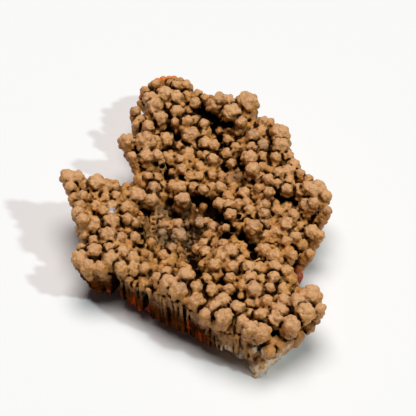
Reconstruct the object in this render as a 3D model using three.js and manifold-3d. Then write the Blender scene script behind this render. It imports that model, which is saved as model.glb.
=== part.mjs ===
// A mottramite specimen: a brown crust of rounded nodules on short columns, grown on a slab of
// iron-stained rock. Millimetres, +Z up, resting on the flat cut under the rock.
import * as THREE from "three";
import { mergeVertices } from "three/addons/utils/BufferGeometryUtils.js";
import Module from "manifold-3d";

const wasm = await Module();
wasm.setup();

// The specimen is laid out as it is seen along a line that comes down at this angle over its -Y side.
// A place is [across, up] in the plane square to that line, and a height above the resting face.
const SIGHT = THREE.MathUtils.degToRad(48);

// The middle of the specimen's box in that layout, which the finished part has at its origin.
const MIDDLE_X = -2.7;
const MIDDLE_Y = -10.8;

const GAP = 0.3; // between the crust and the rock that it grew on
const STEP = 1.82; // the grain of the crust's faceted skin
const ROCK_LEVEL = 2; // how low the crust's plate reaches in its middle, where the rock takes its place
const CRUST_BOX = new THREE.Box3(new THREE.Vector3(-40, -52, -3.6), new THREE.Vector3(40, 52, 22));
const RIGHT_UNDER = 3; // the least height of the crust's underside on its right, where it overhangs
const ROCK_STEP = 3.4; // between the rings of the rock
const RAGGED = 0.9; // how far the rock's broken sides go in and out,
const CHIP_ALONG = [2.1, 0.9]; // in two waves that turn by these angles from ring to ring
const CHIP_ROUND = [4.3, -1.7]; // and by these from corner to corner
const ROUGH = 0.5; // how much of that its top does
const BELLY = 0.35; // how far up its side the rock is widest
const SHOULDER = 0.7; // and where its side starts to lean in
const INSET = 0.06; // how far in the resting face starts, as a share of the width
const FLANK = 0.3; // how far in from its sides its top bends, as a share of the width
const MENDED = -0.1; // the distance, in steps, that a filled grid point gets
const NECK = 0.9; // a column's radius under its nodule, as a share of the nodule's
const FLARE = 0.7; // how much wider a column is, per millimetre further down,
const SKIRT = 1.1; // up to this
const UNEVEN = 2.4; // how much the nodules of a region differ in height

// Nodules as [across, up, radius], with the height of their middles and of the feet of their columns.
const REGIONS = {
  head: {
    height: 12.5, foot: 6, lean: 0.1, nodules: [
      [-13.3, 31.3, 1.3], [-9.5, 31.5, 1.2], [-5.8, 31.0, 1.4], [-10.8, 28.3, 2.3], [-8.0, 27.8, 1.9],
      [-14.5, 27.5, 1.9], [-13.3, 25.3, 2.2], [-12.0, 22.5, 1.8], [-15.0, 20.5, 1.6], [-17.0, 22.3, 1.1],
      [-18.3, 24.3, 1.3], [-18.0, 21.0, 1.1], [-5.5, 28.3, 1.3], [-3.3, 26.3, 1.5], [-2.5, 28.8, 1.2],
      [-0.8, 27.6, 1.2], [-7.8, 24.0, 1.8], [-10.0, 25.5, 1.1], [-5.0, 24.5, 1.2], [-5.3, 21.5, 1.6],
      [-2.8, 22.0, 1.4], [-1.0, 21.0, 1.3], [-8.3, 21.5, 1.1], [-8.0, 31.0, 1.3], [-16.0, 29.6, 1.2],
    ],
  },
  topRight: {
    height: 15.5, foot: 7, lean: 0.15, nodules: [
      [1.5, 25.5, 2.1], [2.8, 27.4, 1.5], [5.0, 26.8, 1.6], [5.8, 23.8, 2.3], [8.3, 21.3, 1.5],
      [10.0, 26.0, 2.7], [8.0, 26.8, 1.5], [9.3, 28.3, 1.1],
    ],
  },
  upperLeftPair: {
    height: 14, foot: 10, lean: 0.4, nodules: [
      [-20.0, 16.3, 2.2], [-15.5, 16.3, 2.5], [-13.3, 16.5, 1.6], [-18.8, 12.8, 1.3], [-15.3, 12.8, 1.8],
      [-12.5, 13.0, 1.4],
    ],
  },
  upperMiddle: {
    height: 11, foot: 4, lean: 0, nodules: [
      [3.0, 19.3, 1.3], [-4.3, 18.0, 2.2], [-1.0, 18.5, 1.1], [-0.5, 16.0, 1.8], [1.5, 15.5, 1.5],
      [-3.3, 15.3, 1.3], [-10.5, 16.8, 2.1], [-12.8, 18.8, 1.1], [-5.0, 13.5, 1.6], [-7.0, 15.5, 1.2],
      [-0.5, 13.0, 1.3], [1.3, 12.0, 1.5], [-9.8, 12.0, 2.0], [-7.0, 12.0, 1.3], [7.3, 17.5, 1.4],
      [5.0, 17.0, 1.2], [6.8, 15.0, 1.3], [4.5, 13.3, 1.5], [5.8, 11.0, 1.3], [-2.0, 10.5, 1.3],
      [1.0, 8.0, 1.2], [3.3, 7.8, 1.3], [5.8, 7.8, 1.3], [7.8, 7.5, 1.3], [10.5, 5.0, 1.4],
      [8.8, 3.5, 1.5], [6.3, 5.3, 1.2], [3.0, 5.0, 1.5], [5.0, 2.8, 1.5], [0.8, 5.0, 1.3],
    ],
  },
  upperRight: {
    height: 14.5, foot: 6, lean: 0.1, nodules: [
      [13.8, 21.5, 1.5], [15.5, 21.3, 1.2], [13.5, 19.0, 1.6], [11.3, 17.8, 1.8], [18.0, 18.3, 2.5],
      [18.0, 15.3, 2.0], [13.8, 15.3, 1.8], [10.8, 14.8, 1.5], [10.3, 12.3, 2.0], [13.5, 12.5, 1.5],
      [16.8, 12.5, 1.3], [19.8, 12.8, 1.5], [21.3, 10.5, 1.6], [11.0, 9.5, 1.8], [13.5, 10.0, 1.4],
      [17.3, 8.5, 1.5], [19.8, 8.8, 1.8], [20.0, 6.6, 1.4], [22.8, 8.3, 1.4], [24.8, 7.0, 1.2],
      [12.8, 7.3, 1.5], [14.8, 7.0, 1.4], [17.0, 5.8, 1.3], [19.5, 4.5, 1.5], [22.3, 4.8, 1.3],
      [15.0, 3.8, 1.4], [12.5, 4.8, 1.2],
    ],
  },
  rightKnob: {
    height: 15, foot: 7, lean: 0.4, nodules: [
      [26.5, 3.8, 2.9], [24.5, 5.0, 1.6], [28.8, 3.0, 1.5], [25.8, 1.2, 1.4], [29.2, -0.6, 1.1],
      [23.8, 0.8, 1.5],
    ],
  },
  leftTip: {
    height: 16.5, foot: 9, lean: 0.3, nodules: [
      [-34.3, 7.5, 2.0], [-31.8, 7.6, 1.5], [-31.0, 6.0, 1.6], [-33.6, 5.0, 1.5], [-32.8, 2.3, 1.4],
      [-30.6, 3.0, 1.3], [-31.3, 0.6, 1.4], [-31.6, -1.2, 1.6], [-30.3, -2.9, 1.6],
    ],
  },
  leftLobes: {
    height: 14.5, foot: 7, lean: 0.25, nodules: [
      [-27.3, 6.0, 2.2], [-25.3, 5.0, 1.8], [-22.8, 5.0, 1.2], [-28.0, 2.8, 1.5], [-25.0, 2.5, 1.4],
      [-22.5, 3.0, 1.2], [-27.5, 0.3, 1.6], [-25.6, -0.7, 1.4], [-23.5, 0.5, 1.4], [-28.3, -4.2, 2.2],
      [-23.5, -3.5, 2.0], [-24.3, -6.8, 2.2], [-20.0, -0.3, 1.8], [-19.8, -2.9, 1.6], [-17.8, -3.9, 1.3],
      [-21.0, -7.3, 1.5], [-17.8, -7.3, 1.5], [-31.2, -5.0, 1.2], [-29.8, -6.8, 1.3], [-27.6, -8.0, 1.4],
    ],
  },
  lowerLeft: {
    height: 13.5, foot: 4, lean: 0.35, nodules: [
      [-27.5, -10.5, 1.9], [-30.7, -9.8, 1.3], [-31.0, -12.2, 2.0], [-28.9, -14.3, 2.0], [-24.0, -9.8, 1.4],
      [-23.5, -12.5, 2.1], [-20.5, -10.6, 1.6], [-18.3, -12.3, 1.8], [-17.8, -14.8, 1.8],
      [-15.2, -14.6, 1.4], [-26.0, -14.3, 1.5], [-21.0, -14.4, 1.6], [-15.4, -18.3, 1.2],
    ],
  },
  centreLeft: {
    height: 11.5, foot: 5, lean: 0, nodules: [
      [-17.5, 2.8, 2.2], [-14.0, 1.8, 1.8], [-17.0, 7.0, 1.5], [-14.8, 7.8, 1.2], [-12.8, 7.3, 1.5],
      [-13.3, 5.0, 1.5], [-20.3, 3.2, 1.3], [-11.0, 5.3, 1.3], [-8.8, 5.3, 1.2], [-7.0, 4.8, 1.8],
      [-6.3, 1.8, 2.0], [-4.5, 7.5, 1.4], [-3.5, 5.0, 1.4], [-1.3, 4.3, 1.3], [-2.0, 7.8, 1.3],
      [-8.8, 8.5, 1.3], [-6.5, 9.5, 1.4], [-15.0, 10.0, 1.2], [-11.5, 9.6, 1.3],
    ],
  },
  basin: {
    height: 7.5, foot: 4, lean: 0, nodules: [
      [-12.0, -1.8, 1.3], [-7.5, -4.0, 1.4], [-5.3, -4.3, 1.2], [-7.0, -7.0, 2.1], [-11.2, -6.3, 1.2],
      [-2.0, -3.8, 1.5], [-0.3, -4.3, 1.9], [1.2, -4.8, 1.5], [0.0, -7.0, 1.4], [-0.8, -8.8, 1.5],
      [-2.8, -10.3, 1.4], [-0.5, -11.0, 1.6], [-8.8, -9.8, 1.3], [-11.0, -11.5, 1.4], [-14.0, -8.5, 1.3],
    ],
  },
  rightCentre: {
    height: 12.5, foot: 5, lean: 0, nodules: [
      [2.8, 1.0, 1.5], [5.0, 0.6, 1.5], [7.3, 1.0, 1.3], [9.5, 1.3, 1.3], [5.5, -1.8, 1.6], [4.3, -5.0, 1.1],
      [13.8, 0.5, 1.5], [16.3, 0.8, 1.4], [13.5, 2.3, 1.3], [13.8, -1.5, 1.5], [10.3, -0.7, 1.6],
      [17.5, -1.3, 1.4], [19.5, 0.0, 1.6], [21.0, -1.8, 1.6], [11.0, -4.8, 2.0], [14.0, -3.7, 1.5],
      [16.8, -6.0, 1.9], [19.0, -4.0, 1.8], [14.0, -6.8, 1.4], [13.3, -10.3, 1.8], [16.0, -12.0, 1.8],
      [3.8, -8.8, 1.3], [19.0, -8.2, 1.4],
    ],
  },
  rightEdge: {
    height: 12, foot: 7, lean: 0.5, nodules: [
      [25.5, -2.1, 1.5], [25.3, -5.8, 1.8], [27.2, -6.6, 1.2], [22.8, -9.0, 1.4], [24.6, -11.1, 1.2],
      [22.6, -4.6, 1.4], [21.2, -7.0, 1.4], [20.4, -11.4, 1.3],
    ],
  },
  ridge: {
    height: 14.5, foot: 5, lean: 0, nodules: [
      [5.5, -10.5, 1.7], [3.5, -12.0, 1.9], [1.5, -13.8, 1.6], [6.0, -14.5, 1.8], [5.3, -17.0, 1.5],
      [9.8, -14.3, 1.6], [11.6, -14.6, 1.4], [13.8, -14.8, 1.5], [16.0, -14.2, 1.6], [15.8, -16.7, 1.5],
      [18.8, -15.3, 1.6], [10.0, -17.0, 1.8], [-0.3, -17.0, 1.3], [7.6, -12.6, 1.4], [12.8, -17.2, 1.4],
    ],
  },
  frontKnobs: {
    height: 15.5, foot: 4.5, lean: 0.25, nodules: [
      [-9.3, -18.0, 2.1], [-5.5, -16.5, 2.3], [-10.0, -15.3, 1.4], [-7.0, -19.8, 2.2], [-12.0, -16.8, 1.4],
      [-2.8, -19.0, 1.6], [-3.0, -22.3, 2.2], [-0.5, -25.3, 1.6], [1.0, -19.8, 1.7], [3.5, -22.3, 2.0],
      [3.8, -25.8, 2.1], [1.5, -23.5, 1.4], [7.0, -23.8, 1.8], [8.2, -26.8, 1.5], [5.0, -19.4, 1.4],
    ],
  },
  frontRight: {
    height: 14.5, foot: 8, lean: 0.35, nodules: [
      [11.0, -19.8, 2.2], [14.8, -19.3, 1.4], [17.8, -19.5, 1.6], [9.8, -23.0, 1.4], [12.0, -22.8, 1.3],
      [9.8, -25.0, 1.3], [12.5, -25.5, 1.6], [14.0, -22.3, 1.6], [17.0, -24.5, 2.0], [16.0, -26.3, 2.0],
      [19.8, -27.8, 2.2], [24.3, -21.3, 2.8], [21.3, -22.8, 2.3], [23.0, -25.0, 2.5], [26.7, -24.0, 1.4],
      [18.0, -22.0, 1.6], [10.0, -28.5, 2.0], [12.5, -29.5, 2.3],
    ],
  },
  frontFoot: {
    height: 9, foot: 7, lean: 0.3, nodules: [
      [1.3, -29.3, 1.5], [4.2, -30.2, 1.6], [7.4, -31.4, 1.5], [18.8, -31.6, 1.6], [17.0, -32.8, 1.4],
      [14.3, -34.0, 1.6], [24.0, -28.6, 1.6], [21.6, -30.2, 1.4], [10.6, -33.2, 1.4],
    ],
  },
};

// Plates, as stations from the tip to the head: place along Y, left edge, right edge, underside, and
// the height of the top at the left, the middle and the right.
const CRUST_PLATE = [
  [-53.0, 10.5, 16.5, 5, 7, 8.5, 7.5],
  [-50.0, 5, 20, 4, 8, 10, 8],
  [-45.5, -2.3, 24, 2.8, 8, 10, 9],
  [-40.0, -11, 25, 2.8, 9, 9, 9],
  [-35.0, -17.5, 22, 2.8, 9, 8, 9],
  [-31.0, -23, 20, 3, 9, 6.5, 9],
  [-28.5, -27.5, 20, 4.5, 9, 6, 9],
  [-25.0, -30, 20, 5.5, 10, 5.5, 9],
  [-19.0, -30, 24, 6, 11, 6, 8],
  [-13.0, -31, 26, 6.5, 12, 6, 9],
  [-8.0, -32, 26, 7, 12, 7, 9],
  [-4.5, -32, 23, 7, 12, 7, 9],
  [-1.5, -19.5, 21, 6, 9, 7, 9],
  [9.0, -17, 18, 6, 9, 7, 10],
  [17.0, -17, 13, 5, 9, 8, 10],
  [23.0, -15, 9, 5, 9, 9, 11],
  [27.0, -14, 1, 5, 9, 9, 9],
  [31.0, -12, -5, 6, 9, 9, 9],
];
const ROCK_SLAB = [
  [-54.5, 11, 13.5, 0, 3, 4.5, 3],
  [-50.0, 9, 17, 0, 4.5, 6, 4.5],
  [-46.0, 3.5, 20, 0, 4.5, 6, 4.5],
  [-42.0, -3, 21, 0, 5, 6, 5],
  [-38.0, -10, 20.5, 0, 5, 5.5, 5],
  [-34.0, -16, 20.5, 0, 4.5, 5, 6],
  [-30.0, -20, 21, 0, 4, 5, 7],
  [-25.0, -22, 23, 0, 4, 4.5, 7],
  [-20.0, -23, 21.5, 0, 4.5, 4.5, 6],
  [-8.0, -21, 19, 0, 5, 5, 5],
  [0.0, -16, 17, 0, 4.5, 5, 5],
  [9.0, -15, 15, 0, 5, 5, 5],
  [18.0, -15, 10, 0, 5, 5.5, 5],
  [26.0, -16.5, 0, 0, 7, 6, 5],
  [30.0, -16.5, -4, 0, 8.5, 8, 6],
  [34.5, -12.5, -6.5, 0, 9.5, 10, 8.5],
];

// A seeded stream of numbers from 0 to 1, so that the specimen is the same each time.
let seed = 20;
function random() {
  seed = (Math.imul(seed, 1664525) + 1013904223) >>> 0;
  return seed / 4294967296;
}

// A place seen at [across, up] and standing at a height, in the specimen's own frame.
function placed(across, up, height) {
  const along = (up - height * Math.cos(SIGHT)) / Math.sin(SIGHT);
  return new THREE.Vector3(across - MIDDLE_X, along - MIDDLE_Y, height);
}

// A closed geometry as a manifold solid, without its empty triangles.
function solidOf(geometry) {
  const merged = mergeVertices(geometry, 1e-4);
  const faces = [];
  const index = merged.index.array;
  for (let i = 0; i < index.length; i += 3) {
    const [a, b, c] = index.subarray(i, i + 3);
    if (a !== b && b !== c && c !== a) {
      faces.push(a, b, c);
    }
  }
  return new wasm.Manifold(new wasm.Mesh({
    numProp: 3,
    vertProperties: new Float32Array(merged.attributes.position.array),
    triVerts: new Uint32Array(faces),
  }));
}

// The distance from a place to a nodule: a ball on a column that widens down to its foot.
function fromNodule({ head, foot, radius }, place) {
  const column = new THREE.Line3(head, foot);
  const share = column.closestPointToPointParameter(place, true);
  const nearest = column.at(share, new THREE.Vector3());
  const stem = nearest.distanceTo(place) - NECK * radius - Math.min(FLARE * (head.z - nearest.z), SKIRT);
  return Math.min(Math.max(stem, foot.z - place.z), head.distanceTo(place) - radius);
}

// The distance from a place to the plate that carries the columns, positive outside it.
function fromPlate(stations, place) {
  const along = place.y + MIDDLE_Y;
  const across = place.x + MIDDLE_X;
  const [, left, right, under, ...tops] = stationAt(stations, along);
  const spot = THREE.MathUtils.clamp(2 * (across - left) / (right - left), 0, 2);
  const side = Math.min(Math.floor(spot), 1);
  const top = THREE.MathUtils.lerp(tops[side], tops[side + 1], spot - side);
  const beyond = Math.max(stations[0][0] - along, along - stations.at(-1)[0]);
  const outside = Math.max(left - across, across - right, beyond);
  const rim = side === 0 ? under : Math.max(under, RIGHT_UNDER);
  const hollow = THREE.MathUtils.lerp(ROCK_LEVEL, rim, Math.abs(spot - 1));
  return Math.max(outside, place.z - top, hollow - place.z);
}

// For each pattern of a cell's eight corners, whether its inside and its outside are in one piece each.
const WHOLE_CELLS = Array.from({ length: 256 }, (_, pattern) => [0, 1].every((kind) => {
  const corners = [0, 1, 2, 3, 4, 5, 6, 7].filter((corner) => ((pattern >> corner) & 1) === kind);
  const reached = new Set(corners.slice(0, 1));
  for (const corner of reached) {
    for (const axis of [1, 2, 4]) {
      if (corners.includes(corner ^ axis)) {
        reached.add(corner ^ axis);
      }
    }
  }
  return reached.size === corners.length;
}));

// The closed skin of a solid given by its distance field: one vertex in each grid cell that it crosses.
function skinOf(distance, box, step) {
  const size = box.getSize(new THREE.Vector3()).divideScalar(step).ceil().addScalar(1);
  const stride = [1, size.x, size.x * size.y];
  const values = new Float64Array(size.x * size.y * size.z).fill(step);
  const spot = (n) => new THREE.Vector3(
    n % size.x, Math.floor(n / stride[1]) % size.y, Math.floor(n / stride[2]),
  );
  const edge = (n) => {
    const { x, y, z } = spot(n);
    return x === 0 || y === 0 || z === 0 || x === size.x - 1 || y === size.y - 1 || z === size.z - 1;
  };
  for (let n = 0; n < values.length; n += 1) {
    if (!edge(n)) {
      values[n] = distance(spot(n).multiplyScalar(step).add(box.min));
    }
  }
  const corner = (n, k) => n + (k & 1) * stride[0] + ((k >> 1) & 1) * stride[1] + (k >> 2) * stride[2];
  const patternAt = (n) => [0, 1, 2, 3, 4, 5, 6, 7].reduce(
    (bits, k) => bits | (values[corner(n, k)] < 0 ? 1 << k : 0), 0,
  );
  const isCell = (n) => {
    const { x, y, z } = spot(n);
    return x < size.x - 1 && y < size.y - 1 && z < size.z - 1;
  };
  const cells = [...values.keys()].filter(isCell);
  const walled = (n, side) => values[n - side] < 0 && values[n + side] < 0;
  const inSlit = (n, side) => values[n] >= 0 && walled(n, side) && walled(n + stride[2], side);
  const inPit = (n) => values[n] >= 0 && walled(n, stride[0]) && walled(n, stride[1]);
  const filled = MENDED * step;
  let mended = true;
  while (mended) {
    mended = false;
    for (const n of cells) {
      if (!edge(n) && (inSlit(n, stride[0]) || inSlit(n, stride[1]) || inPit(n))) {
        values[n] = filled;
        mended = true;
      }
    }
    for (const n of cells) {
      if (!WHOLE_CELLS[patternAt(n)]) {
        const open = [0, 1, 2, 3, 4, 5, 6, 7].map((k) => corner(n, k)).filter((m) => values[m] >= 0);
        values[open.reduce((least, m) => (values[m] < values[least] ? m : least))] = filled;
        mended = true;
      }
    }
  }
  const positions = [];
  const vertexOf = new Map();
  for (const n of cells) {
    const pattern = patternAt(n);
    if (pattern === 0 || pattern === 255) {
      continue;
    }
    const middle = new THREE.Vector3();
    let crossings = 0;
    for (let k = 0; k < 8; k += 1) {
      for (const axis of [1, 2, 4]) {
        const from = values[corner(n, k)];
        const to = values[corner(n, k | axis)];
        if ((k & axis) === 0 && (from < 0) !== (to < 0)) {
          middle.add(spot(corner(n, k)).lerp(spot(corner(n, k | axis)), from / (from - to)));
          crossings += 1;
        }
      }
    }
    middle.divideScalar(crossings).multiplyScalar(step).add(box.min);
    vertexOf.set(n, positions.length / 3);
    positions.push(middle.x, middle.y, middle.z);
  }
  const faces = [];
  for (const n of cells) {
    for (let axis = 0; axis < 3; axis += 1) {
      const inside = values[n] < 0;
      if (edge(n) || inside === (values[n + stride[axis]] < 0)) {
        continue;
      }
      const u = stride[(axis + 1) % 3];
      const v = stride[(axis + 2) % 3];
      const [a, b, c, d] = [n, n - u, n - u - v, n - v].map((cell) => vertexOf.get(cell));
      faces.push(...(inside ? [a, b, c, a, c, d] : [a, c, b, a, d, c]));
    }
  }
  const geometry = new THREE.BufferGeometry();
  geometry.setAttribute("position", new THREE.Float32BufferAttribute(positions, 3));
  geometry.setIndex(faces);
  return geometry;
}

// The plate's station at a place along it, between the listed ones.
function stationAt(stations, along) {
  const next = stations.findIndex((station) => station[0] > along);
  const after = stations[next === -1 ? stations.length - 1 : Math.max(next, 1)];
  const before = stations[stations.indexOf(after) - 1];
  const share = THREE.MathUtils.clamp((along - before[0]) / (after[0] - before[0]), 0, 1);
  return before.map((value, n) => THREE.MathUtils.lerp(value, after[n], share));
}

// A slab of rock lofted through stations, with broken sides, grown by an allowance on every side.
function slab(stations, allowance) {
  const first = stations[0][0];
  const last = stations.at(-1)[0];
  const count = Math.round((last - first) / ROCK_STEP);
  const rings = [];
  for (let n = 0; n <= count; n += 1) {
    const along = THREE.MathUtils.lerp(first, last, n / count);
    const [, left, right, under, topLeft, topMiddle, topRight] = stationAt(stations, along);
    const width = right - left;
    const wave = (m, k) => Math.sin(CHIP_ALONG[m] * n + CHIP_ROUND[m] * k);
    const chip = (k) => RAGGED * wave(0, k) * wave(1, k);
    const bump = (k) => ROUGH * chip(k) + allowance;
    const sideHeight = (top, share) => THREE.MathUtils.lerp(under, top, share);
    const inset = INSET * width;
    const floor = under - 2 * allowance;
    const section = [
      [left + inset + chip(0), floor],
      [right - inset + chip(1), floor],
      [right + chip(2) + allowance, sideHeight(topRight, BELLY)],
      [right - inset + chip(3) + allowance, sideHeight(topRight, SHOULDER) + allowance],
      [right - 2 * inset + chip(4), topRight + bump(5)],
      [right - FLANK * width, (topMiddle + topRight) / 2 + bump(6)],
      [(left + right) / 2, topMiddle + bump(7)],
      [left + FLANK * width, (topMiddle + topLeft) / 2 + bump(8)],
      [left + 2 * inset + chip(9), topLeft + bump(10)],
      [left + inset + chip(11) - allowance, sideHeight(topLeft, SHOULDER) + allowance],
      [left + chip(12) - allowance, sideHeight(topLeft, BELLY)],
    ];
    const end = n === 0 ? -allowance : n === count ? allowance : 0;
    rings.push(section.map(([x, z]) => [x - MIDDLE_X, along + end - MIDDLE_Y, z]));
  }
  const sides = rings[0].length;
  const faces = [];
  for (let n = 0; n < count; n += 1) {
    for (let k = 0; k < sides; k += 1) {
      const a = n * sides + k;
      const b = n * sides + (k + 1) % sides;
      faces.push(a, b + sides, b, a, a + sides, b + sides);
    }
  }
  const top = count * sides;
  for (let k = 1; k + 1 < sides; k += 1) {
    faces.push(0, k, k + 1, top, top + k + 1, top + k);
  }
  const geometry = new THREE.BufferGeometry();
  geometry.setAttribute("position", new THREE.Float32BufferAttribute(rings.flat(2), 3));
  geometry.setIndex(faces);
  return solidOf(geometry);
}

// All the nodules of the regions, each column's foot drawn in under it by the region's lean.
function seenNodules() {
  const made = [];
  for (const { height, foot, lean, nodules } of Object.values(REGIONS)) {
    for (const [across, up, radius] of nodules) {
      const head = placed(across, up, height + UNEVEN * (random() - 0.5));
      const inward = new THREE.Vector3(-head.x, -head.y, 0).setLength(lean * (head.z - foot));
      made.push({ head, foot: new THREE.Vector3(head.x + inward.x, head.y + inward.y, foot), radius });
    }
  }
  return made;
}

// The faces of a solid's outer skin, without the pockets that columns have closed in between them.
function outerFaces(triVerts, vertexCount) {
  const leader = Array.from({ length: vertexCount }, (_, n) => n);
  const find = (n) => {
    let top = n;
    while (leader[top] !== top) {
      leader[top] = leader[leader[top]];
      top = leader[top];
    }
    return top;
  };
  for (let i = 0; i < triVerts.length; i += 3) {
    leader[find(triVerts[i + 1])] = find(triVerts[i]);
    leader[find(triVerts[i + 2])] = find(triVerts[i]);
  }
  const tally = new Map();
  for (const vertex of triVerts) {
    tally.set(find(vertex), (tally.get(find(vertex)) ?? 0) + 1);
  }
  const [outer] = [...tally.entries()].reduce((most, entry) => (entry[1] > most[1] ? entry : most));
  const faces = [];
  for (let i = 0; i < triVerts.length; i += 3) {
    if (find(triVerts[i]) === outer) {
      faces.push(...triVerts.subarray(i, i + 3));
    }
  }
  return faces;
}

function meshOf(name, solid, material) {
  const { numProp, vertProperties, triVerts } = solid.getMesh();
  const positions = new Float32Array(vertProperties.length / numProp * 3);
  for (let i = 0; i < positions.length; i += 1) {
    positions[i] = vertProperties[Math.floor(i / 3) * numProp + i % 3];
  }
  const geometry = new THREE.BufferGeometry();
  geometry.setAttribute("position", new THREE.BufferAttribute(positions, 3));
  geometry.setIndex(outerFaces(triVerts, positions.length / 3));
  geometry.computeVertexNormals();
  const mesh = new THREE.Mesh(geometry, material);
  mesh.name = name;
  return mesh;
}

const crustBrown = new THREE.MeshStandardMaterial({ color: 0xa8804f, roughness: 0.75, metalness: 0 });
const rockOrange = new THREE.MeshStandardMaterial({ color: 0xb5501f, roughness: 0.85, metalness: 0 });

const nodules = seenNodules();
const fromCrust = (place) => nodules.reduce(
  (least, each) => Math.min(least, fromNodule(each, place)), fromPlate(CRUST_PLATE, place),
);
const crustSkin = skinOf(fromCrust, CRUST_BOX, STEP);
const crust = solidOf(crustSkin).subtract(slab(ROCK_SLAB, GAP));
const rock = slab(ROCK_SLAB, 0);

const group = new THREE.Group();
group.add(meshOf("mottramite_crust", crust, crustBrown));
group.add(meshOf("matrix", rock, rockOrange));

export default group;
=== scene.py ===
# The dressed mottramite specimen: the crust and the rock as fine meshes of the same nodules, plates
# and slab that the frame's solids have, with their materials, two lights, a pale floor and the camera.
import math

import bpy
import numpy as np
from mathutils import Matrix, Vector


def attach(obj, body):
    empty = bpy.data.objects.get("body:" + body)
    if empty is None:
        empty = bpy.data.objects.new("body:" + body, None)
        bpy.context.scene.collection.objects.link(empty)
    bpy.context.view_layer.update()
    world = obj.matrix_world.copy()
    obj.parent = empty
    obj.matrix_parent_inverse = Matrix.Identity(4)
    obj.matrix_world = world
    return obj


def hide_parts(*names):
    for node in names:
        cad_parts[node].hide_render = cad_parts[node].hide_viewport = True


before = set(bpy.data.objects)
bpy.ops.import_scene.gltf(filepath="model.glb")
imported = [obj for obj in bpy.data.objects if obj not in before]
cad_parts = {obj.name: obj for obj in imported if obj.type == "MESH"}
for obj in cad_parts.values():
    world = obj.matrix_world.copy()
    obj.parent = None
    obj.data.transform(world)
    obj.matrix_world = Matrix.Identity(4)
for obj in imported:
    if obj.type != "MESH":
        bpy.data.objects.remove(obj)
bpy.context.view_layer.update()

MM = 0.001

# The specimen's layout, in millimetres, as in the frame: seen along a line that comes down at this
# angle over its -Y side, a place is [across, up] in the plane square to that line.
SIGHT = math.radians(48)
MIDDLE_X = -2.7
MIDDLE_Y = -10.8
UNEVEN = 2.4  # how much the nodules of a region differ in height
FRAME_WIDTH = 104.0  # what the picture spans, at a quarter of a millimetre to a pixel
LENS = 300.0
SENSOR = 36.0

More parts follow.
